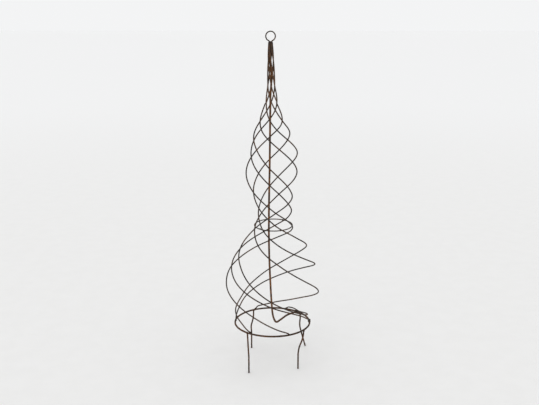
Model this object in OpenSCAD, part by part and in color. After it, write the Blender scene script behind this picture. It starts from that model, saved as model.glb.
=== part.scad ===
// Garden obelisk: a tall plant support in rusted steel rod. Six hand-bent rods spiral round
// a centre rod, through a middle ring, out into a wide belly and down onto a base ring that
// stands on four stake legs. A round eye crowns the neck.
// Millimetres. Z is up, the stake tips stand at z = 0, and -Y is the front.
// Angles round the obelisk are counted from the front (0) towards +X (90).

/* [Rod stock] */
// Diameter of the six spiral rods
spiral_d = 6.5; // [4:0.5:10]
// Diameter of the centre rod
centre_d = 10; // [6:0.5:14]
// Diameter of the base ring's stock
base_d = 9; // [6:0.5:14]
// Diameter of the middle ring's stock
mid_d = 5.5; // [4:0.5:10]
// Diameter of the stake legs
leg_d = 8; // [6:0.5:12]
// Diameter of the stock of the top eye
eye_d = 6; // [4:0.5:10]

/* [Rings] */
// Base ring radius, to the middle of the stock
base_r = 195; // [150:1:260]
// Height of the base ring above the stake tips
base_h = 210; // [120:5:300]
// Middle ring radius, to the middle of the stock
mid_r = 96; // [70:1:140]
// Height of the middle ring
mid_h = 736; // [600:1:900]
// Sideways offset of the middle ring
mid_x = 5; // [-20:1:20]
// Forward tilt of the middle ring, degrees
mid_tilt = 3.5; // [0:0.5:10]
// Top eye radius, to the middle of the stock
eye_r = 23; // [15:1:40]
// Height of the centre of the top eye
eye_h = 1675; // [1500:1:1800]

/* [Spiral] */
// Height at which the rods gather in the neck
neck_h = 1640; // [1500:5:1700]
// Height of a rod's landing end above the middle of the base ring
rod_rise = 7; // [5:0.5:10]
// Turn between one spiral rod and the next, degrees
phase = 60; // [30:5:90]
// Turn at which the spiral rods start in the neck
first_turn = -110; // [-150:5:0]
// Turn between two stations of a swept spiral rod
turn_step = 7.5; // [5:2.5:15]

/* [Welds] */
// Diameter of the beads on the middle ring
mid_bead = 10; // [8:0.5:16]
// Diameter of the beads on the base ring
base_bead = 12; // [10:0.5:18]

/* [Hidden] */
$fn = 32;

rust = [0.36, 0.24, 0.15];
iron = [0.27, 0.24, 0.21];
weld_black = [0.16, 0.14, 0.13];

// Shape that the six spiral rods share: [turn, height, radius].
profile = [
  [first_turn, neck_h, 9], [-60, 1560, 14], [0, 1440, 19], [60, 1360, 31],
  [120, 1270, 62], [180, 1175, 100], [240, 1060, 121], [300, 940, 108],
  [360, 840, 88], [420, 765, 86], [480, 690, 117], [540, 590, 188],
  [600, 460, 231], [630, 397, 228], [660, 340, 211], [720, 248, 187],
  [745, base_h + rod_rise + 2, 192], [760, base_h + rod_rise, 194]
];
// Middle of the spiral, which sways a little: [height, x].
sway = [[base_h, 0], [500, 2], [800, 5], [1100, -1], [1420, -6], [neck_h, -10]];

// Where each rod sits round the obelisk, in steps of the phase, and the turn at which it
// lands on the base ring.
place = [0, 1, 2, -3, -1, -2];
landing = [745, 750, 757, 749, 745, 748];
// The hand-bent differences of each rod: how far it is lifted at these turns,
lift_turns = [0, 60, 120, 180, 240, 300, 360, 420, 480, 540, 570, 600, 630, 660, 690, 720, 745, 760];
lift = [
  [0,  0,   0,   8,   4, -12, -12,   0,  10,  18,  24,  26,  20,  18,  10,   2,  0, 0],
  [0,  8,  12,  10,   4,   8,   4,   4,   6,   4,  10,  20,  24,  26,  28,  24, 10, 0],
  [0,  0,  -2,  -6, -26, -24,  -8,   0,   0, -20, -44, -58, -60, -52, -36, -16, 10, 4],
  [0, -8, -12,  -4,   4,   8,   8,  10,  14,   8,  -2, -12, -26, -30, -24,  -4, 10, 4],
  [0,  0,  -2,   8,   8,   4,   0,  -4,   0,  -4, -12, -24, -34, -32, -20,  -4, -4, 0],
  [0, -6, -10, -10,   4,  -4, -12, -12, -12,  -8,   4,  18,  30,  38,  42,  40, 16, 0]
];
// and how far it is pushed outwards at these.
push_turns = [60, 120, 180, 240, 270, 300, 360, 420, 480, 510, 540, 570, 600, 630, 660, 690, 720, 760];
push = [
  [-4, -2,  0,  10, 16, 12,  2, -2, -4, -4, -4,  8, 14,  12,   8,  -2,  -4, 0],
  [ 0, -4, -8, -10, -6,  0,  8,  4,  2,  0, -2, -4, -8,  -4,   0,  -4,  -4, 0],
  [ 0,  0,  2,   0,  0, -4, -4,  0,  4,  6,  8, 12,  6,  -4, -12, -20, -16, 0],
  [ 4,  4,  4,   0,  4,  4, -2, -6, -8, -8, -4,  4,  6,   8,   8,   0,   0, 0],
  [ 4,  0,  0,  -2,  0,  0,  0,  0,  4,  8,  8,  4, -2, -10, -16,  -4,   0, 0],
  [-2,  0,  8,  10,  8,  0, -6, -8, -4, -2,  0,  2,  2,   4,   4,   0,   0, 0]
];

// Centre rod from the neck down to its foot, which runs out to the inside of the base ring.
rod_path = [
  [-10, 0, neck_h + 2], [-13, 0, 1575], [-12, 0, 1550], [-7, 0, 1515], [-6, 0, 1480],
  [-7, 0, 1440], [-10, 0, 1395], [-11, 0, 1340], [-12, 0, 1260], [-14, 0, 1050], [-18, 0, 800],
  [-17, 0, 600], [-11, 0, 440], [-3, 0, 300], [4, 0, 240], [19, 3, 207], [43, 38, 205],
  [76, 98, 205], [104, 126, 206], [128, 135, 209], [146, 115, 211]
];

// Upper, bent part of each leg, from the base ring down to the straight stake, and its tip.
leg_fl = [[-127, -147, 209], [-124, -154, 150], [-120, -168, 90]];
tip_fl = [-120, -168, 0];
leg_fr = [[160, -112, 209], [157, -114, 176], [149, -116, 148], [138, -119, 120], [132, -121, 85]];
tip_fr = [132, -121, 0];
leg_bl = [[-102, 167, 209], [-103, 162, 175], [-108, 156, 150], [-115, 148, 125], [-113, 136, 90]];
tip_bl = [-113, 136, 0];
leg_br = [[150, 126, 209], [152, 130, 180], [150, 135, 152], [151, 140, 125], [158, 146, 92]];
tip_br = [182, 162, 1.5];
// The straight stake begins this far below the last bend, and the bent part laps into it.
stake_drop = 12;
stake_lap = 8;

// Direction of a vector.
function unit(v) = v / norm(v);

// A smooth curve through stations [x, y, ...]: the row below x, its slope, and the value.
function row(t, x, i = 0) = i >= len(t) - 2 || x < t[i + 1][0] ? i : row(t, x, i + 1);
function slope(t, i) =
  let (a = max(i - 1, 0), b = min(i + 1, len(t) - 1)) (t[b] - t[a]) / (t[b][0] - t[a][0]);
function at(t, x) =
  let (i = row(t, x), h = t[i + 1][0] - t[i][0], u = (x - t[i][0]) / h)
  (1 + 2 * u) * (1 - u) * (1 - u) * t[i] + u * u * (3 - 2 * u) * t[i + 1]
  + h * u * (1 - u) * ((1 - u) * slope(t, i) - u * slope(t, i + 1));

// Path points joined by the same smooth curve, n steps to each stretch.
function lengths(p) =
  [for (i = 0, s = 0; i < len(p); s = s + norm(p[min(i + 1, len(p) - 1)] - p[i]), i = i + 1) s];
function smooth(p, n) =
  let (s = lengths(p), t = [for (i = [0:len(p) - 1]) [s[i], p[i].x, p[i].y, p[i].z]])
  [for (i = [0:len(p) - 2]) for (k = [0:n - 1])
      let (q = at(t, s[i] + (s[i + 1] - s[i]) * k / n)) [q[1], q[2], q[3]],
    p[len(p) - 1]];

// Point of spiral rod k at a turn.
function bend(t, v, turn) =
  turn <= t[0] ? 0 : at([for (i = [0:len(t) - 1]) [t[i], v[i]]], turn)[1];
function spiral_point(k, turn) =
  let (
    s = at(profile, turn),
    h = turn == landing[k] ? base_h + rod_rise : s[1] + bend(lift_turns, lift[k], turn),
    r = s[2] + bend(push_turns, push[k], turn),
    a = turn + phase * place[k]
  ) [at(sway, h)[1] + r * sin(a), -r * cos(a), h];
// Turn at which spiral rod k passes a height.
function turn_at(k, h, lo = 300, hi = 600, n = 14) =
  n == 0 ? (lo + hi) / 2
  : spiral_point(k, (lo + hi) / 2).z > h ? turn_at(k, h, (lo + hi) / 2, hi, n - 1)
  : turn_at(k, h, lo, (lo + hi) / 2, n - 1);

// Round rod swept along points. side is a direction the path never runs along.
module swept(p, side, d, k) {
  n = len(p);
  dir = [for (i = [0:n - 1]) unit(p[min(i + 1, n - 1)] - p[max(i - 1, 0)])];
  v = [for (i = [0:n - 1]) unit(cross(dir[i], is_num(side[0]) ? side : side[i]))];
  w = [for (i = [0:n - 1]) cross(dir[i], v[i])];
  polyhedron(
    points = [for (i = [0:n - 1]) for (j = [0:k - 1])
      p[i] + d / 2 * (cos(360 * j / k) * v[i] + sin(360 * j / k) * w[i])],
    faces = [
      [for (j = [0:k - 1]) j],
      for (i = [0:n - 2]) for (j = [0:k - 1])
        let (a = i * k + j, b = i * k + (j + 1) % k)
          each [[a, a + k, b + k], [a, b + k, b]],
      [for (j = [k - 1:-1:0]) (n - 1) * k + j]
    ],
    convexity = 10
  );
}

// Straight round rod between two points.
module straight(a, b, d) {
  v = b - a;
  translate(a)
    rotate([0, acos(v.z / norm(v)), atan2(v.y, v.x)]) cylinder(h = norm(v), d = d);
}

// Ring of round stock, lying flat.
module hoop(r, d) {
  rotate_extrude($fn = 96) translate([r, 0]) circle(d = d);
}

// A weld bead: a squat drop that sits over a joint.
module bead(p, d) {
  translate(p) rotate_extrude()
    polygon(d * [
      [0, -0.42], [0.26, -0.38], [0.44, -0.2], [0.5, 0.02], [0.4, 0.24], [0.22, 0.37], [0, 0.42]
    ]);
}

module spiral_rod(k) {
  turns = [for (a = [first_turn:10:-10]) a, for (a = [0:turn_step:landing[k] - 2]) a, landing[k]];
  pts = [for (a = turns) spiral_point(k, a)];
  outward = [for (a = turns) [sin(a + phase * place[k]), -cos(a + phase * place[k]), 0]];
  color(iron) swept(pts, outward, spiral_d, 8);
}

module spiral_rod_a() { spiral_rod(0); }
module spiral_rod_b() { spiral_rod(1); }
module spiral_rod_c() { spiral_rod(2); }
module spiral_rod_d() { spiral_rod(3); }
module spiral_rod_e() { spiral_rod(4); }
module spiral_rod_f() { spiral_rod(5); }

module centre_rod() {
  color(rust) swept(smooth(rod_path, 4), [-0.7, 0.7, 0], centre_d, 12);
}

module finial_eye() {
  x = at(sway, neck_h)[1];
  color(iron) {
    translate([x, 0, eye_h]) rotate([90, 0, 0]) hoop(eye_r, eye_d);
    // The two ends of the eye run down side by side into the neck.
    straight([x - 7, -7, 1612], [x - 5, -1, eye_h - eye_r + 2], eye_d);
    straight([x + 8, 7, 1618], [x + 5, 1, eye_h - eye_r + 2], eye_d);
  }
}

module mid_ring() {
  color(iron) translate([mid_x, 0, mid_h]) rotate([mid_tilt, 0, 0]) hoop(mid_r, mid_d);
}

module base_ring() {
  color(rust) translate([0, 0, base_h]) hoop(base_r, base_d);
}

// The bent part runs into the top of the straight stake, a hair thinner than the stake.
module leg(upper, tip) {
  foot = upper[len(upper) - 1];
  down = unit(tip - foot);
  stake_top = foot + down * stake_drop;
  color(rust) {
    swept(smooth([each upper, stake_top, stake_top + down * stake_lap], 4), [0, 1, 0], leg_d - 0.2, 12);
    straight(tip, stake_top, leg_d);
  }
}

module leg_front_left() { leg(leg_fl, tip_fl); }
module leg_front_right() { leg(leg_fr, tip_fr); }
module leg_back_left() { leg(leg_bl, tip_bl); }
module leg_back_right() { leg(leg_br, tip_br); }

module neck_weld() {
  x = at(sway, neck_h)[1];
  color(weld_black) {
    translate([x, 0, neck_h]) rotate_extrude()
      polygon([[0, -45], [7, -42], [9.5, -25], [11, -10], [12.5, 0], [12.5, 6], [10, 11], [0, 13]]);
  }
}

module mid_ring_welds() {
  color(weld_black) for (k = [0:5]) {
    p = spiral_point(k, turn_at(k, mid_h));
    q = [mid_x, 0, mid_h];
    d = unit([p.x - q.x, p.y, 0]);
    bead([q.x + d.x * (mid_r - 3), d.y * (mid_r - 3), mid_h + d.y * mid_r * sin(mid_tilt)], mid_bead);
  }
}

module base_ring_welds() {
  color(weld_black) for (k = [0:5]) {
    p = spiral_point(k, landing[k]);
    bead([p.x, p.y, base_h + base_d / 2 + 1], base_bead);
  }
}

module leg_welds() {
  color(weld_black) for (p = [leg_fl[0], leg_fr[0], leg_bl[0], leg_br[0]])
    bead([p.x, p.y, base_h - base_d / 2], base_bead);
}

// A long lump that ties the foot of the centre rod to the base ring.
module rod_foot_weld() {
  color(weld_black) translate([159, 106, base_h + 2]) rotate([-90, 0, 43]) rotate_extrude()
    polygon([[0, 0], [4.5, 0.5], [7, 7], [6.5, 16], [8.5, 28], [7.5, 42], [5.5, 59], [0, 60]]);
}

// The base ring's ends are lapped and welded over on the right.
module base_ring_joint() {
  color(weld_black) translate([base_r - 0.5, -8, base_h + 1]) rotate([-90, 0, 0]) rotate_extrude()
    polygon([[0, 0], [5.6, 0.5], [7.2, 5], [6.6, 10], [7.4, 16], [6.6, 23], [5.2, 29.5], [0, 30]]);
}

finial_eye();
neck_weld();
centre_rod();
spiral_rod_a();
spiral_rod_b();
spiral_rod_c();
spiral_rod_d();
spiral_rod_e();
spiral_rod_f();
mid_ring();
mid_ring_welds();
base_ring();
base_ring_welds();
base_ring_joint();
rod_foot_weld();
leg_front_left();
leg_front_right();
leg_back_left();
leg_back_right();
leg_welds();
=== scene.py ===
import math

import bmesh
import bpy
import numpy as np
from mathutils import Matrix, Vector, noise


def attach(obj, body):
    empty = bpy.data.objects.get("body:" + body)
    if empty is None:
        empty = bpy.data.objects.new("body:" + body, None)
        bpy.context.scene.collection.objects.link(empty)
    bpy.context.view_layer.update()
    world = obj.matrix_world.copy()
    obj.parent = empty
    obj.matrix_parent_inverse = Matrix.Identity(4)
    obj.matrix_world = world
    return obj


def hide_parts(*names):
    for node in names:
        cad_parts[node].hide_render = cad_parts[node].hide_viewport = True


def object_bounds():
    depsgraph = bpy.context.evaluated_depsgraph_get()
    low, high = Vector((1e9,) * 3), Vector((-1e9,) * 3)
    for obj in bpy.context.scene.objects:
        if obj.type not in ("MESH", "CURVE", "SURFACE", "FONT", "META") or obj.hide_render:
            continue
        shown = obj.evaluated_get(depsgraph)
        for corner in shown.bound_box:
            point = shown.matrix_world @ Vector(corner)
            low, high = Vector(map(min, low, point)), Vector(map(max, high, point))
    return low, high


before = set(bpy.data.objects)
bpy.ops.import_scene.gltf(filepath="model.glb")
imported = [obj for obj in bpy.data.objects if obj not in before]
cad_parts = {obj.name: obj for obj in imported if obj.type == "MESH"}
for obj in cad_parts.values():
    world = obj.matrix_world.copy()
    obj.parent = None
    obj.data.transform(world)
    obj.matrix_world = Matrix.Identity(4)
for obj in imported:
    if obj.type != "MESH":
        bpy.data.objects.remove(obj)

CAD_BOX = [list(v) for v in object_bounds()]

# ---------------------------------------------------------------------------
# Sizes, in millimetres, as in the CAD.
# ---------------------------------------------------------------------------
SPIRAL_D, CENTRE_D, BASE_D, MID_D, LEG_D, EYE_D = 6.5, 10, 9, 5.5, 8, 6
BASE_R, BASE_H = 195, 210
MID_R, MID_H, MID_X, MID_TILT = 96, 736, 5, 3.5
EYE_R, EYE_H = 23, 1675
PHASE, FIRST_TURN = 60, -110
NECK_H = 1640  # where the rods gather
ROD_RISE = 7  # of a rod's landing end above the middle of the base ring

# These tables are the rounded result of a least-squares fit made outside this script. They are
# not a hand-made design, except for the neck end of the profile.
PROFILE = [
    [FIRST_TURN, NECK_H, 9], [-60, 1560, 14], [0, 1440, 19], [60, 1360, 31],
    [120, 1270, 62], [180, 1175, 100], [240, 1060, 121], [300, 940, 108],
    [360, 840, 88], [420, 765, 86], [480, 690, 117], [540, 590, 188],
    [600, 460, 231], [630, 397, 228], [660, 340, 211], [720, 248, 187],
    [745, BASE_H + ROD_RISE + 2, 192], [760, BASE_H + ROD_RISE, 194],
]
SWAY = [[BASE_H, 0], [500, 2], [800, 5], [1100, -1], [1420, -6], [NECK_H, -10]]
PLACE = [0, 1, 2, -3, -1, -2]
LANDING = [745, 750, 757, 749, 745, 748]
LIFT_TURNS = [0, 60, 120, 180, 240, 300, 360, 420, 480, 540, 570, 600, 630, 660, 690, 720, 745, 760]
LIFT = [
    [0, 0, 0, 8, 4, -12, -12, 0, 10, 18, 24, 26, 20, 18, 10, 2, 0, 0],
    [0, 8, 12, 10, 4, 8, 4, 4, 6, 4, 10, 20, 24, 26, 28, 24, 10, 0],
    [0, 0, -2, -6, -26, -24, -8, 0, 0, -20, -44, -58, -60, -52, -36, -16, 10, 4],
    [0, -8, -12, -4, 4, 8, 8, 10, 14, 8, -2, -12, -26, -30, -24, -4, 10, 4],
    [0, 0, -2, 8, 8, 4, 0, -4, 0, -4, -12, -24, -34, -32, -20, -4, -4, 0],
    [0, -6, -10, -10, 4, -4, -12, -12, -12, -8, 4, 18, 30, 38, 42, 40, 16, 0],
]
PUSH_TURNS = [60, 120, 180, 240, 270, 300, 360, 420, 480, 510, 540, 570, 600, 630, 660, 690, 720, 760]
PUSH = [
    [-4, -2, 0, 10, 16, 12, 2, -2, -4, -4, -4, 8, 14, 12, 8, -2, -4, 0],
    [0, -4, -8, -10, -6, 0, 8, 4, 2, 0, -2, -4, -8, -4, 0, -4, -4, 0],
    [0, 0, 2, 0, 0, -4, -4, 0, 4, 6, 8, 12, 6, -4, -12, -20, -16, 0],
    [4, 4, 4, 0, 4, 4, -2, -6, -8, -8, -4, 4, 6, 8, 8, 0, 0, 0],
    [4, 0, 0, -2, 0, 0, 0, 0, 4, 8, 8, 4, -2, -10, -16, -4, 0, 0],
    [-2, 0, 8, 10, 8, 0, -6, -8, -4, -2, 0, 2, 2, 4, 4, 0, 0, 0],
]
ROD_PATH = [
    [-10, 0, NECK_H + 2], [-13, 0, 1575], [-12, 0, 1550], [-7, 0, 1515], [-6, 0, 1480],
    [-7, 0, 1440], [-10, 0, 1395], [-11, 0, 1340], [-12, 0, 1260], [-14, 0, 1050],
    [-18, 0, 800], [-17, 0, 600], [-11, 0, 440], [-3, 0, 300], [4, 0, 240], [19, 3, 207],
    [43, 38, 205], [76, 98, 205], [104, 126, 206], [128, 135, 209], [146, 115, 211],
]
LEGS = {
    "leg_front_left": ([[-127, -147, 209], [-124, -154, 150], [-120, -168, 90]], [-120, -168, 0]),
    "leg_front_right": ([[160, -112, 209], [157, -114, 176], [149, -116, 148], [138, -119, 120],
                         [132, -121, 85]], [132, -121, 0]),
    "leg_back_left": ([[-102, 167, 209], [-103, 162, 175], [-108, 156, 150], [-115, 148, 125],
                       [-113, 136, 90]], [-113, 136, 0]),
    "leg_back_right": ([[150, 126, 209], [152, 130, 180], [150, 135, 152], [151, 140, 125],
                        [158, 146, 92]], [182, 162, 1.5]),
}


# ---------------------------------------------------------------------------
# Smooth curves through stations, the same as the CAD's.
# ---------------------------------------------------------------------------
def slope(t, i):
    a, b = max(i - 1, 0), min(i + 1, len(t) - 1)
    return (t[b] - t[a]) / (t[b][0] - t[a][0])


def at(t, x):
    i = 0
    while i < len(t) - 2 and x >= t[i + 1][0]:
        i += 1
    h = t[i + 1][0] - t[i][0]
    u = (x - t[i][0]) / h
    return ((1 + 2 * u) * (1 - u) ** 2 * t[i] + u * u * (3 - 2 * u) * t[i + 1]
            + h * u * (1 - u) * ((1 - u) * slope(t, i) - u * slope(t, i + 1)))


def smooth(points, step):
    """Points every step mm along the smooth curve through the given points."""
    p = np.array(points, float)
    s = np.concatenate([[0], np.cumsum(np.linalg.norm(np.diff(p, axis=0), axis=1))])
    t = np.column_stack([s, p])
    fine = np.array([at(t, x)[1:] for x in np.linspace(0, s[-1], int(s[-1] / step * 2) + 2)])
    return resample(fine, step)


def resample(p, step):
    s = np.concatenate([[0], np.cumsum(np.linalg.norm(np.diff(p, axis=0), axis=1))])
    n = max(2, int(round(s[-1] / step)) + 1)
    x = np.linspace(0, s[-1], n)
    return np.column_stack([np.interp(x, s, p[:, i]) for i in range(p.shape[1])])


profile = np.array(PROFILE, float)
sway = np.array(SWAY, float)


def bend(turns, values, turn):
    if turn <= turns[0]:
        return 0.0
    return at(np.column_stack([turns, values]).astype(float), turn)[1]


def spiral_point(k, turn):
    s = at(profile, turn)
    h = s[1] + bend(LIFT_TURNS, LIFT[k], turn)
    drop = min(max((turn - (LANDING[k] - 5)) / 5, 0), 1)
    h += (BASE_H + ROD_RISE - h) * drop * drop * (3 - 2 * drop)
    r = s[2] + bend(PUSH_TURNS, PUSH[k], turn)
    a = math.radians(turn + PHASE * PLACE[k])
    return np.array([at(sway, h)[1] + r * math.sin(a), -r * math.cos(a), h])


def turn_at(k, h):
    lo, hi = 300.0, 600.0
    for _ in range(20):
        mid = (lo + hi) / 2
        if spiral_point(k, mid)[2] > h:
            lo = mid
        else:
            hi = mid
    return (lo + hi) / 2


spiral_paths = [
    resample(np.array([spiral_point(k, a) for a in np.arange(FIRST_TURN, LANDING[k] + 0.01, 1.0)]), 4)
    for k in range(6)
]
mid_joints = [spiral_point(k, turn_at(k, MID_H)) for k in range(6)]
base_joints = [spiral_point(k, LANDING[k]) for k in range(6)]
leg_joints = [np.array(LEGS[n][0][0], float) for n in LEGS]
neck_x = at(sway, NECK_H)[1]
WELDS = np.array(
    mid_joints + base_joints + leg_joints
    + [[neck_x, 0, NECK_H], [138, 127, BASE_H], [BASE_R, 0, BASE_H]], float)


# ---------------------------------------------------------------------------
# Mesh builders. Everything is in metres once it is in a mesh.
# ---------------------------------------------------------------------------
def rough(p, scale, seed):
    """Lumpy noise from -1 to 1 at a point in mm."""
    v = Vector((p[0] / scale + seed * 7.3, p[1] / scale - seed * 3.1, p[2] / scale + seed * 1.7))
    return noise.noise(v)


def frames(p, closed):
    """Direction and two cross directions at each point, turned as little as possible."""
    n = len(p)
    if closed:
        d = np.array([p[(i + 1) % n] - p[i - 1] for i in range(n)])
    else:
        d = np.array([p[min(i + 1, n - 1)] - p[max(i - 1, 0)] for i in range(n)])
    d /= np.linalg.norm(d, axis=1)[:, None]
    seed = np.array([0.0, 0.0, 1.0]) if abs(d[0][2]) < 0.9 else np.array([1.0, 0.0, 0.0])
    v = np.cross(d[0], seed)
    v /= np.linalg.norm(v)
    vs = [v]
    for i in range(1, n):
        v = v - d[i] * np.dot(v, d[i])
        v /= np.linalg.norm(v)
        vs.append(v)
    vs = np.array(vs)
    if closed:
        end = vs[-1] - d[0] * np.dot(vs[-1], d[0])
        end /= np.linalg.norm(end)
        slip = math.atan2(np.dot(np.cross(vs[0], end), d[0]), np.dot(vs[0], end))
        for i in range(n):
            a = -slip * i / n
            w = np.cross(d[i], vs[i])
            vs[i] = math.cos(a) * vs[i] + math.sin(a) * w
    return d, vs, np.cross(d, vs)


def face_outwards(mesh):
    """Faces point outwards on every separate shell."""
    bm = bmesh.new()
    bm.from_mesh(mesh)
    bmesh.ops.recalc_face_normals(bm, faces=bm.faces)
    bm.to_mesh(mesh)
    bm.free()


def make(name, verts, faces, along, heat, material):
    """An object from vertices in mm. along is the way along the bar, heat is 1 at a weld."""
    mesh = bpy.data.meshes.new(name)
    mesh.from_pydata([tuple(v) for v in np.clip(verts * 0.001, *CAD_BOX)], [], faces)
    mesh.polygons.foreach_set("use_smooth", [True] * len(faces))
    a = mesh.attributes.new("along", "FLOAT", "POINT")
    a.data.foreach_set("value", np.asarray(along, float))
    h = mesh.attributes.new("heat", "FLOAT", "POINT")
    h.data.foreach_set("value", np.asarray(heat, float))
    mesh.materials.append(material)
    mesh.validate()
    mesh.update()
    face_outwards(mesh)
    obj = bpy.data.objects.new(name, mesh)
    bpy.context.scene.collection.objects.link(obj)
    return obj


def heat_at(p):
    """How close a point lies to a weld, from 0 to 1."""
    d = np.linalg.norm(WELDS - p, axis=1).min()
    return math.exp(-(d / 14.0) ** 2)


def bar(name, p, diameter, material, sides=14, closed=False, seed=1, lump=0.035):
    """Round bar along a path: uneven section, hand-forged flats, sheared ends."""
    d, v, w = frames(p, closed)
    n, r0 = len(p), diameter / 2
    verts, along, heat, faces = [], [], [], []
    s = np.concatenate([[0], np.cumsum(np.linalg.norm(np.diff(p, axis=0), axis=1))])
    for i in range(n):
        hot = heat_at(p[i])
        swell = 1 + 0.022 * rough(p[i], 38, seed) + 0.014 * rough(p[i], 11, seed + 5)
        for j in range(sides):
            a = 2 * math.pi * j / sides
            out = math.cos(a) * v[i] + math.sin(a) * w[i]
            q = p[i] + out * r0
            r = r0 * (swell + lump * rough(q, 6.5, seed + 11) + 0.5 * lump * rough(q, 2.6, seed + 23))
            r = min(r, r0 * 1.05)
            verts.append(p[i] + out * r)
            along.append(s[i] * 0.001)
            heat.append(hot)
    rings = n if closed else n - 1
    for i in range(rings):
        for j in range(sides):
            a, b = i * sides + j, i * sides + (j + 1) % sides
            c, e = ((i + 1) % n) * sides + (j + 1) % sides, ((i + 1) % n) * sides + j
            faces.append((a, b, c, e))
    if not closed:
        for end, step in ((0, -1), (n - 1, 1)):
            ring = [end * sides + j for j in range(sides)]
            tilt = 0.12 * rough(p[end], 5, seed + 31)
            for k, (out, size) in enumerate(((0.0, 0.93), (0.0, 0.72), (0.0, 0.38))):
                new = []
                for j in range(sides):
                    a = 2 * math.pi * j / sides
                    o = math.cos(a) * v[end] + math.sin(a) * w[end]
                    bump = 0.25 * rough(p[end] + o * size * r0, 2.2, seed + 41) * (k > 0)
                    new.append(len(verts))
                    verts.append(p[end] + o * r0 * size + d[end] * step * (
                        tilt * r0 * size * math.cos(a) + bump * 0.4 + (0.28 if k else 0.12)))
                    along.append(s[end] * 0.001)
                    heat.append(heat[ring[0]])
                for j in range(sides):
                    q = (ring[j], ring[(j + 1) % sides], new[(j + 1) % sides], new[j])
                    faces.append(q if step > 0 else q[::-1])
                ring = new
            verts.append(p[end] + d[end] * step * 0.3)
            along.append(s[end] * 0.001)
            heat.append(heat[ring[0]])
            for j in range(sides):
                q = (ring[j], ring[(j + 1) % sides], len(verts) - 1)
                faces.append(q if step > 0 else q[::-1])
    return make(name, np.array(verts), faces, along, heat, material)


def weld_run(path, width, height, seed, ripple=2.1, sides=18):
    """One run of weld metal along a path: a low rounded bead with overlapping ripples."""
    p = resample(np.array(path, float), 0.55)
    d, v, w = frames(p, False)
    n = len(p)
    s = np.linspace(0, 1, n)
    length = np.linalg.norm(np.diff(p, axis=0), axis=1).sum()
    verts, faces = [], []
    for i in range(n):
        end = math.sqrt(max(0.0, 1 - abs(2 * s[i] - 1) ** 2.6))
        phase = (s[i] * length / ripple + 0.25 * rough(p[i], 4, seed)) % 1.0
        wave = 1 + 0.10 * (1 - phase) ** 1.6
        for j in range(sides):
            a = 2 * math.pi * j / sides
            out = math.cos(a) * v[i] * width + math.sin(a) * w[i] * height
            k = end * wave * (1 + 0.13 * rough(p[i] + out, 3.4, seed + 3)
                              + 0.06 * rough(p[i] + out, 1.1, seed + 9))
            verts.append(p[i] + out * 0.5 * max(k, 0.02))
    for i in range(n - 1):
        for j in range(sides):
            faces.append((i * sides + j, i * sides + (j + 1) % sides,
                          (i + 1) * sides + (j + 1) % sides, (i + 1) * sides + j))
    faces.append(tuple(range(sides))[::-1])
    faces.append(tuple((n - 1) * sides + j for j in range(sides)))
    return verts, faces


def spatter(centre, seed, count, reach):
    """Small drops of weld metal thrown round a joint, each a rough little ball."""
    verts, faces = [], []
    for i in range(count):
        a = 2.4 * i + seed
        z = -0.7 + 1.4 * ((i * 0.618 + seed * 0.37) % 1)
        o = np.array([math.cos(a), math.sin(a), z])
        c = np.array(centre) + o * reach * (0.75 + 0.25 * math.sin(3.1 * i + seed))
        r = 0.45 + 0.35 * ((i * 0.41 + seed * 0.13) % 1)
        base = len(verts)
        rows, cols = 5, 8
        for u in range(1, rows):
            for t in range(cols):
                b, g = math.pi * u / rows, 2 * math.pi * t / cols
                q = np.array([math.sin(b) * math.cos(g), math.sin(b) * math.sin(g), math.cos(b)])
                verts.append(c + q * r * (1 + 0.15 * rough(c + q, 0.8, seed)))
        verts.append(c + np.array([0, 0, r]))
        verts.append(c - np.array([0, 0, r]))
        top, bottom = len(verts) - 2, len(verts) - 1
        for u in range(rows - 2):
            for t in range(cols):
                x, y = base + u * cols + t, base + u * cols + (t + 1) % cols
                faces.append((x, x + cols, y + cols, y))
        for t in range(cols):
            faces.append((base + t, base + (t + 1) % cols, top))
            x = base + (rows - 2) * cols
            faces.append((x + (t + 1) % cols, x + t, bottom))
    return verts, faces


def joined(name, parts, material):
    """Several shells as one object."""
    verts, faces = [], []
    for vs, fs in parts:
        n = len(verts)
        verts += list(vs)
        faces += [tuple(n + i for i in f) for f in fs]
    return make(name, np.array(verts), faces, [0] * len(verts), [1] * len(verts), material)


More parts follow.
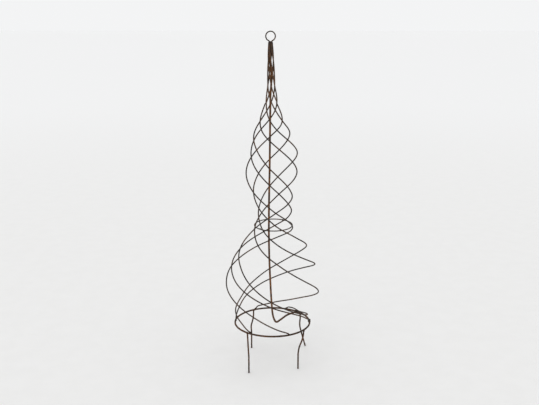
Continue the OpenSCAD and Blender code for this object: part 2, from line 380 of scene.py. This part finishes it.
# ---------------------------------------------------------------------------
# Materials.
# ---------------------------------------------------------------------------
class Nodes:
    """Short names for building a node tree."""

    def __init__(self, name):
        self.m = bpy.data.materials.new(name)
        self.m.use_nodes = True
        self.t = self.m.node_tree
        self.t.nodes.clear()
        self.coord = self.new("TexCoord")

    def new(self, kind):
        return self.t.nodes.new("ShaderNode" + kind)

    def link(self, a, b):
        self.t.links.new(a, b)

    def value(self, socket, v):
        if isinstance(v, (int, float, tuple)):
            socket.default_value = v
        else:
            self.link(v, socket)

    def shifted(self, offset):
        n = self.new("Mapping")
        n.inputs["Location"].default_value = offset
        self.link(self.coord.outputs["Object"], n.inputs["Vector"])
        return n.outputs["Vector"]

    def noise(self, vector, scale, detail=4, rough=0.55, distort=0.0):
        n = self.new("TexNoise")
        n.inputs["Scale"].default_value = scale
        n.inputs["Detail"].default_value = detail
        n.inputs["Roughness"].default_value = rough
        n.inputs["Distortion"].default_value = distort
        self.link(vector, n.inputs["Vector"])
        return n.outputs["Fac"]

    def cells(self, vector, scale):
        n = self.new("TexVoronoi")
        n.feature = "F1"
        n.inputs["Scale"].default_value = scale
        self.link(vector, n.inputs["Vector"])
        return n.outputs["Distance"]

    def ramp(self, fac, lo, hi, a=0.0, b=1.0):
        n = self.new("MapRange")
        n.interpolation_type = "SMOOTHSTEP"
        n.inputs["From Min"].default_value = lo
        n.inputs["From Max"].default_value = hi
        n.inputs["To Min"].default_value = a
        n.inputs["To Max"].default_value = b
        self.link(fac, n.inputs["Value"])
        return n.outputs["Result"]

    def math(self, op, a, b=0.0, clamp=False):
        n = self.new("Math")
        n.operation = op
        n.use_clamp = clamp
        self.value(n.inputs[0], a)
        self.value(n.inputs[1], b)
        return n.outputs[0]

    def mix(self, fac, a, b):
        n = self.new("Mix")
        n.data_type = "RGBA"
        self.value(n.inputs[0], fac)
        for s, v in ((n.inputs[6], a), (n.inputs[7], b)):
            self.value(s, (*v, 1) if isinstance(v, tuple) else v)
        return n.outputs[2]

    def attribute(self, name):
        n = self.new("Attribute")
        n.attribute_name = name
        return n.outputs["Fac"]

    def up(self):
        g = self.new("NewGeometry")
        s = self.new("SeparateXYZ")
        self.link(g.outputs["Normal"], s.inputs[0])
        return s.outputs["Z"]

    def bump(self, height, strength, distance, normal=None):
        n = self.new("Bump")
        n.inputs["Strength"].default_value = strength
        n.inputs["Distance"].default_value = distance
        self.link(height, n.inputs["Height"])
        if normal is not None:
            self.link(normal, n.inputs["Normal"])
        return n.outputs["Normal"]

    def finish(self, colour, roughness, metallic, normal, specular=0.24):
        b = self.new("BsdfPrincipled")
        o = self.new("OutputMaterial")
        self.value(b.inputs["Base Color"], colour)
        self.value(b.inputs["Roughness"], roughness)
        self.value(b.inputs["Metallic"], metallic)
        b.inputs["Specular IOR Level"].default_value = specular
        self.link(normal, b.inputs["Normal"])
        self.link(b.outputs[0], o.inputs[0])
        return self.m


def iron(name, offset, scale_col, brown, rust, bright, dust_and_highlight, rust_lo, rust_hi, metal, damp, low_darkening):
    """Weathered bar: dark mill scale, brown oxide over most of it, orange rust where it has
    broken through, worn specks, pits, drawn streaks along the bar, and dust lightened by a painted
    highlight on top."""
    g = Nodes(name)
    v = g.shifted(offset)
    broad = g.noise(v, 14, 5, 0.6, 0.4)
    patch = g.noise(v, 95, 7, 0.62, 0.6)
    grain = g.noise(v, 620, 6, 0.7)
    speck = g.noise(v, 1900, 3, 0.6)
    pits = g.cells(v, 520)
    flakes = g.cells(v, 170)
    # Streaks left by drawing and brushing: noise that follows the bar's length and its side.
    run = g.new("CombineXYZ")
    g.link(g.math("MULTIPLY", g.attribute("along"), 26.0), run.inputs[0])
    geo = g.new("NewGeometry")
    add = g.new("VectorMath")
    add.operation = "ADD"
    g.link(run.outputs[0], add.inputs[0])
    g.link(geo.outputs["Normal"], add.inputs[1])
    streak = g.noise(add.outputs[0], 3.2, 5, 0.65)
    heat = g.attribute("heat")
    # Rain collects in the neck and the ground keeps the foot damp, so both rust more.
    split = g.new("SeparateXYZ")
    g.link(g.coord.outputs["Object"], split.inputs[0])
    height = split.outputs["Z"]
    neck = g.math("MULTIPLY", g.ramp(height, 1.22, 1.42), g.ramp(height, 1.655, 1.63))
    wet = g.math("MULTIPLY", g.math("ADD", neck, g.ramp(height, 0.42, 0.20)), damp)

    # Brown oxide breaks up the scale, at two sizes.
    cover = g.math("ADD", g.math("MULTIPLY", broad, 0.45), g.math("MULTIPLY", patch, 0.55))
    cover = g.math("ADD", cover, g.math("MULTIPLY", g.math("SUBTRACT", streak, 0.5), 0.35))
    oxide = g.ramp(g.math("ADD", cover, g.math("MULTIPLY", wet, 0.5)), 0.36, 0.60)
    colour = g.mix(oxide, scale_col, brown)
    # Orange rust, thickest near the welds and in the pits.
    spread = g.math("ADD", g.math("MULTIPLY", patch, 0.5), g.math("MULTIPLY", grain, 0.5))
    spread = g.math("ADD", spread, g.math("MULTIPLY", g.math("SUBTRACT", broad, 0.5), 0.5))
    spread = g.math("ADD", spread, g.math("MULTIPLY", heat, 0.05))
    spread = g.math("ADD", spread, g.math("MULTIPLY", wet, 0.35))
    rusty = g.ramp(spread, rust_lo, rust_hi)
    colour = g.mix(rusty, colour, rust)
    edge = g.ramp(g.math("ABSOLUTE", g.math("SUBTRACT", spread, rust_hi)), 0.0, 0.03, 0.55, 0.0)
    colour = g.mix(edge, colour, bright)
    # Dark pits and crumbs.
    pit = g.ramp(g.math("ADD", pits, g.math("MULTIPLY", grain, 0.35)), 0.30, 0.46, 1.0, 0.0)
    colour = g.mix(g.math("MULTIPLY", pit, 0.6), colour, tuple(c * 0.42 for c in scale_col))
    # Thin pale specks where the scale has lifted.
    lifted = g.math("MULTIPLY", g.ramp(speck, 0.60, 0.72), g.ramp(flakes, 0.30, 0.62))
    colour = g.mix(g.math("MULTIPLY", lifted, 0.55), colour, bright)
    # Heat from welding has left the bar black.
    burnt = g.math("MULTIPLY", heat, g.ramp(patch, 0.35, 0.65, 0.95, 0.35))
    colour = g.mix(g.math("MULTIPLY", burnt, 0.75), colour, tuple(c * 0.5 for c in scale_col))
    # Down by the base ring the bar is darker.
    low = g.math("MULTIPLY", g.ramp(height, 0.28, 0.22), low_darkening)
    colour = g.mix(low, colour, tuple(c * 0.7 for c in scale_col))
    # Dust lies on what faces up, and its lighter tint there is also a painted highlight on the up-facing
    # surfaces.
    top = g.math("MULTIPLY", g.ramp(g.up(), 0.35, 0.98), g.ramp(patch, 0.42, 0.62))
    colour = g.mix(g.math("MULTIPLY", top, 0.22), colour, dust_and_highlight)

    rough_v = g.math("ADD", 0.52, g.math("MULTIPLY", g.math("MAXIMUM", rusty, oxide), 0.26))
    rough_v = g.math("ADD", rough_v, g.math("MULTIPLY", g.math("SUBTRACT", grain, 0.5), 0.35), clamp=True)
    metallic = g.math("MULTIPLY", g.math("SUBTRACT", 1.0, g.math("MAXIMUM", rusty, g.math(
        "MULTIPLY", oxide, 0.75))), metal, clamp=True)
    n = g.bump(g.math("SUBTRACT", patch, g.math("MULTIPLY", pit, 0.35)), 0.55, 0.0006)
    n = g.bump(g.math("ADD", grain, g.math("MULTIPLY", rusty, 0.8)), 0.6, 0.00022, n)
    n = g.bump(speck, 0.35, 0.00008, n)
    n = g.bump(streak, 0.25, 0.00015, n)
    return g.finish(colour, rough_v, metallic, n)


def weld_metal(name, offset, rusted):
    """Weld bead: blue-black oxide on the crowns, rust and slag in the hollows."""
    g = Nodes(name)
    v = g.shifted(offset)
    broad = g.noise(v, 180, 4, 0.6, 0.5)
    grain = g.noise(v, 900, 6, 0.68)
    speck = g.noise(v, 2600, 3, 0.6)
    slag = g.cells(v, 640)
    geo = g.new("NewGeometry")
    crown = g.ramp(geo.outputs["Pointiness"], 0.47, 0.56)
    colour = g.mix(g.ramp(broad, 0.35, 0.65), (0.012, 0.010, 0.009), (0.034, 0.023, 0.016))
    uneven = g.math("MULTIPLY", g.math("SUBTRACT", broad, 0.5), 0.6)
    rusty = g.ramp(g.math("ADD", grain, uneven), 0.48, 0.62)
    colour = g.mix(g.math("MULTIPLY", rusty, rusted), colour, (0.120, 0.046, 0.017))
    colour = g.mix(g.math("MULTIPLY", crown, 0.3 * rusted + 0.04), colour, (0.075, 0.062, 0.052))
    colour = g.mix(g.math("MULTIPLY", g.ramp(slag, 0.12, 0.26, 1, 0), 0.5), colour, (0.008, 0.007, 0.007))
    rough_v = g.math("ADD", 0.42, g.math("MULTIPLY", rusty, 0.36))
    metallic = g.math("MULTIPLY", g.math("SUBTRACT", 1.0, rusty), 0.55, clamp=True)
    n = g.bump(broad, 0.5, 0.0005)
    n = g.bump(grain, 0.6, 0.00022, n)
    n = g.bump(speck, 0.4, 0.00007, n)
    return g.finish(colour, rough_v, metallic, n)


spiral_iron = iron(
    "weathered_spiral_iron", (0.3, 0.7, 0.1),
    scale_col=(0.026, 0.0235, 0.0215), brown=(0.050, 0.034, 0.024), rust=(0.115, 0.050, 0.020),
    bright=(0.18, 0.125, 0.09), dust_and_highlight=(0.14, 0.115, 0.09),
    rust_lo=0.53, rust_hi=0.63, metal=0.35, damp=0.26, low_darkening=0.5)
rusted_iron = iron(
    "rusted_bar", (1.3, 0.2, 0.9),
    scale_col=(0.034, 0.022, 0.014), brown=(0.086, 0.038, 0.015), rust=(0.175, 0.068, 0.020),
    bright=(0.27, 0.135, 0.06), dust_and_highlight=(0.19, 0.12, 0.07),
    rust_lo=0.46, rust_hi=0.59, metal=0.18, damp=0.10, low_darkening=0.55)
ring_iron = iron(
    "dark_ring_bar", (2.1, 1.4, 0.4),
    scale_col=(0.019, 0.012, 0.008), brown=(0.046, 0.021, 0.009), rust=(0.118, 0.042, 0.012),
    bright=(0.19, 0.095, 0.045), dust_and_highlight=(0.12, 0.075, 0.045),
    rust_lo=0.51, rust_hi=0.63, metal=0.2, damp=0.08, low_darkening=0.0)
weld = weld_metal("weld_bead", (0.5, 0.4, 1.1), 0.85)
black_weld = weld_metal("black_weld", (0.9, 0.1, 0.6), 0.18)

# ---------------------------------------------------------------------------
# Pieces.
# ---------------------------------------------------------------------------
def piece(obj, node):
    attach(obj, "root")
    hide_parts(node)


for k, letter in enumerate("abcdef"):
    node = "spiral_rod_" + letter
    piece(bar(node + "_bar", spiral_paths[k], SPIRAL_D, spiral_iron, seed=k + 1), node)

rod = smooth(ROD_PATH, 4)
piece(bar("centre_rod_bar", rod, CENTRE_D, rusted_iron, sides=20, seed=9), "centre_rod")


def circle(radius, n):
    turns = [math.radians(360.0 * i / n) for i in range(n)]
    return [(radius * math.sin(a), -radius * math.cos(a)) for a in turns]


base = np.array([[x, y, BASE_H] for x, y in circle(BASE_R, 300)])
for i, q in enumerate(base):
    base[i] = q + np.array([
        0.5 * rough(q, 60, 3), 0.5 * rough(q, 60, 4), 0.45 * rough(q, 75, 5)])
piece(bar("base_ring_bar", base, BASE_D, ring_iron, sides=18, closed=True, seed=12),
      "base_ring")

tilt = math.radians(MID_TILT)
middle = np.array([[MID_X + x, y * math.cos(tilt), MID_H + y * math.sin(tilt)]
                   for x, y in circle(MID_R, 150)])
piece(bar("mid_ring_bar", middle, MID_D, spiral_iron, closed=True, seed=14),
      "mid_ring")

# The eye is one bar bent round and brought down into the neck at both ends.
loop = [[neck_x - 7, -7, NECK_H - 28], [neck_x - 6, -4, NECK_H - 10],
        [neck_x - 4.5, -1.8, NECK_H + 6]]
for a in range(-160, 161, 8):
    loop.append([neck_x + EYE_R * math.sin(math.radians(a)), 1.6 * a / 160,
                 EYE_H + EYE_R * math.cos(math.radians(a))])
loop += [[neck_x + 4.5, 1.8, NECK_H + 6], [neck_x + 6.3, 4, NECK_H - 9],
         [neck_x + 8, 7, NECK_H - 22]]
eye_path = smooth(loop, 2.0)
piece(bar("finial_eye_bar", eye_path, EYE_D, spiral_iron, sides=16, seed=16), "finial_eye")

for i, (node, (upper, tip)) in enumerate(LEGS.items()):
    foot, tip = np.array(upper[-1], float), np.array(tip, float)
    down = (tip - foot) / np.linalg.norm(tip - foot)
    path = smooth([*upper, foot + down * 12, foot + down * 20, tip - down * 0.35], 4)
    piece(bar(node + "_bar", path, LEG_D, ring_iron, sides=18, seed=20 + i),
          node)


def round_weld(centre, tangent, offset, length, width, height, seed):
    """A weld run of the given length along tangent, curling a little over the joint."""
    c, t, o = (np.array(x, float) for x in (centre, tangent, offset))
    t /= np.linalg.norm(t)
    return weld_run([c + o + t * length * (u - 0.5) - np.array([0, 0, 1.2]) * (2 * u - 1) ** 2
                     for u in np.linspace(0, 1, 9)], width, height, seed)


def outward_and_side(p, centre_x=0.0):
    """Directions away from the middle and round it, at a point."""
    out = np.array([p[0] - centre_x, p[1], 0.0])
    out /= np.linalg.norm(out)
    return out, np.cross([0, 0, 1.0], out)


def mid_ring_joints():
    parts = []
    for k, p in enumerate(mid_joints):
        out, side = outward_and_side(p, MID_X)
        q = np.array([MID_X + out[0] * (MID_R - 3.2), out[1] * (MID_R - 3.2),
                      MID_H + out[1] * MID_R * math.sin(tilt)])
        parts.append(round_weld(q, side, [0, 0, 2.4], 8.5, 5.6, 4.4, 40 + k))
        parts.append(round_weld(q, side, [0, 0, -2.2], 6.5, 5.0, 4.0, 50 + k))
        parts.append(spatter(q, 2.0 + k, 3, 5.0))
    return parts


def base_ring_joints():
    parts = []
    for k, p in enumerate(base_joints):
        out, side = outward_and_side(p)
        q = np.array([p[0], p[1], BASE_H + 4.8])
        parts.append(round_weld(q, side, out * 2.8, 10, 5.4, 4.4, 60 + k))
        parts.append(round_weld(q, side, -out * 2.8, 9, 5.2, 4.2, 70 + k))
        parts.append(spatter(q, 5.0 + k, 3, 6.0))
    return parts


def leg_tops():
    """Three short runs round the top of each leg."""
    parts = []
    for k, p in enumerate(leg_joints):
        out, side = outward_and_side(p)
        for u in range(3):
            a = 2 * math.pi * u / 3 + 0.5
            o = out * 3.6 * math.cos(a) + side * 3.6 * math.sin(a)
            t = -out * math.sin(a) + side * math.cos(a)
            parts.append(round_weld([p[0], p[1], BASE_H - 4.6], t, o, 7.0, 4.8, 4.6, 80 + 4 * k + u))
        parts.append(spatter([p[0], p[1], BASE_H - 4.5], 9.0 + k, 3, 6.0))
    return parts


def along_foot(u, off, up):
    """Point of the lump at the rod's foot: u along it, off towards the outside, and up."""
    return [159 - 40.9 * u + 0.73 * off, 106 + 43.9 * u + 0.68 * off, BASE_H + 2 + up]


def rod_foot():
    """A core and four runs over it, each from one share of the lump's length to another."""
    parts = []
    for u0, u1, off, up, width, height in (
            (0.05, 0.95, 0.0, 0.0, 12.5, 11.5), (0.10, 0.55, -4.0, 3.8, 8.0, 6.0),
            (0.40, 0.92, 3.0, 4.2, 8.4, 6.4), (0.25, 0.80, -3.6, -3.8, 7.4, 5.8),
            (0.05, 0.45, 3.8, -3.0, 7.0, 5.4)):
        run = [along_foot(u, off + 1.1 * math.sin(9 * u + off), up + 0.7 * math.sin(13 * u))
               for u in np.linspace(u0, u1, 14)]
        parts.append(weld_run(run, width, height, 95 + len(parts)))
    parts.append(spatter(along_foot(0.5, 0, 0), 3.3, 6, 9.0))
    return parts


def ring_closure():
    """Eight turns of weld round the base ring where its two ends meet."""
    parts = []
    for u in range(8):
        y = -5.5 + 3.4 * u
        size = 4.9 + 0.5 * (u % 2) + 0.3 * math.sin(2.1 * u)
        turn = [[BASE_R - 0.5 + size * math.cos(a), y + 0.9 * math.sin(2 * a + u),
                 BASE_H + 1 + size * math.sin(a)] for a in np.linspace(0.3 * u, 0.3 * u + 6.1, 30)]
        parts.append(weld_run(turn, 4.8, 3.8, 100 + u))
    parts.append(spatter([BASE_R - 0.5, 4, BASE_H + 1], 1.7, 3, 6.0))
    return parts


def neck_core():
    low, high = ([[neck_x, 0, NECK_H + up] for up in ups] for ups in ((-44, -24, -4), (-24, -6, 12)))
    return [weld_run(low, 17, 17, 120, ripple=3), weld_run(high, 21.5, 21.5, 121, ripple=3),
            spatter([neck_x, 0, NECK_H - 8], 4.4, 4, 11.5)]


def neck_sides():
    """Six runs up the neck between the rods."""
    parts = []
    for u, turn in enumerate((-35, 12, 82, 150, 205, 266)):
        a = math.radians(turn)
        low = -36 + 5 * math.sin(2.3 * u)
        run = [[neck_x + r * math.sin(a), -r * math.cos(a), NECK_H + up] for r, up in (
            (8.4, low), (9.6, -20), (10.2, -8), (10.2, 2), (9.2, 8), (6.4, 11.4))]
        parts.append(weld_run(run, 4.8, 4.4, 110 + u))
    return parts


for name, node, material, beads in (
        ("mid_ring_weld_beads", "mid_ring_welds", weld, mid_ring_joints),
        ("base_ring_weld_beads", "base_ring_welds", black_weld, base_ring_joints),
        ("leg_weld_beads", "leg_welds", black_weld, leg_tops),
        ("rod_foot_weld_bead", "rod_foot_weld", black_weld, rod_foot),
        ("base_ring_joint_bead", "base_ring_joint", black_weld, ring_closure),
        ("neck_weld_core_bead", "neck_weld", black_weld, neck_core),
        ("neck_weld_side_beads", "neck_weld", weld, neck_sides)):
    piece(joined(name, beads(), material), node)

# ---------------------------------------------------------------------------
# Stage: a plain pale floor, soft light and the camera.
# ---------------------------------------------------------------------------
floor_mesh = bpy.data.meshes.new("floor")
rings, spokes = [0.6, 1.2, 2, 3, 4.5, 7, 11, 17, 27, 43, 70, 110, 180, 300], 96
points = [(0, 0, -0.0005)] + [
    (r * math.cos(2 * math.pi * i / spokes), r * math.sin(2 * math.pi * i / spokes), -0.0005)
    for r in rings for i in range(spokes)]
quads = [(0, 1 + i, 1 + (i + 1) % spokes) for i in range(spokes)]
for j in range(len(rings) - 1):
    for i in range(spokes):
        a, b = 1 + j * spokes + i, 1 + j * spokes + (i + 1) % spokes
        quads.append((a, a + spokes, b + spokes, b))
floor_mesh.from_pydata(points, [], quads)
floor = bpy.data.objects.new("floor", floor_mesh)
bpy.context.scene.collection.objects.link(floor)
f = Nodes("pale_floor")
reach = f.new("VectorMath")
reach.operation = "LENGTH"
f.link(f.coord.outputs["Object"], reach.inputs[0])
far = f.ramp(reach.outputs["Value"], 1.5, 14)
grain = f.noise(f.shifted((0, 0, 0)), 9, 4, 0.6)
near = f.mix(f.ramp(grain, 0.3, 0.7), (0.850, 0.846, 0.838), (0.864, 0.860, 0.853))
f.finish(f.mix(far, near, (0.90, 0.90, 0.90)), 0.95, 0.0,
         f.bump(f.noise(f.shifted((0, 0, 0)), 300, 3), 0.1, 0.0002), 0.1)
floor_mesh.materials.append(f.m)

scene = bpy.context.scene
world = bpy.data.worlds.new("soft_sky")
world.use_nodes = True
world.node_tree.nodes["Background"].inputs["Color"].default_value = (0.90, 0.905, 0.91, 1)
world.node_tree.nodes["Background"].inputs["Strength"].default_value = 1.0
scene.world = world
scene.view_settings.view_transform = "Standard"


def sun(name, azimuth, height, strength, angle, colour):
    """A wide soft light from a compass direction, 0 = front, and a height in degrees."""
    light = bpy.data.lights.new(name, "SUN")
    light.energy, light.angle, light.color = strength, math.radians(angle), colour
    obj = bpy.data.objects.new(name, light)
    a, h = math.radians(azimuth), math.radians(height)
    towards = Vector((math.sin(a) * math.cos(h), -math.cos(a) * math.cos(h), math.sin(h)))
    obj.rotation_euler = towards.to_track_quat("Z", "Y").to_euler()
    obj.location = towards * 5
    scene.collection.objects.link(obj)


sun("key", -38, 42, 0.30, 35, (1.0, 0.985, 0.96))
sun("fill", 60, 30, 0.12, 60, (0.96, 0.98, 1.0))

camera = bpy.data.cameras.new("camera")
camera.lens = 50
camera.sensor_width = 36
camera.clip_end = 200
cam = bpy.data.objects.new("camera", camera)
cam.location = (-0.015, -3.684, 1.731)
cam.rotation_euler = (math.radians(90 - 13.4), 0, 0)
scene.collection.objects.link(cam)
scene.camera = cam
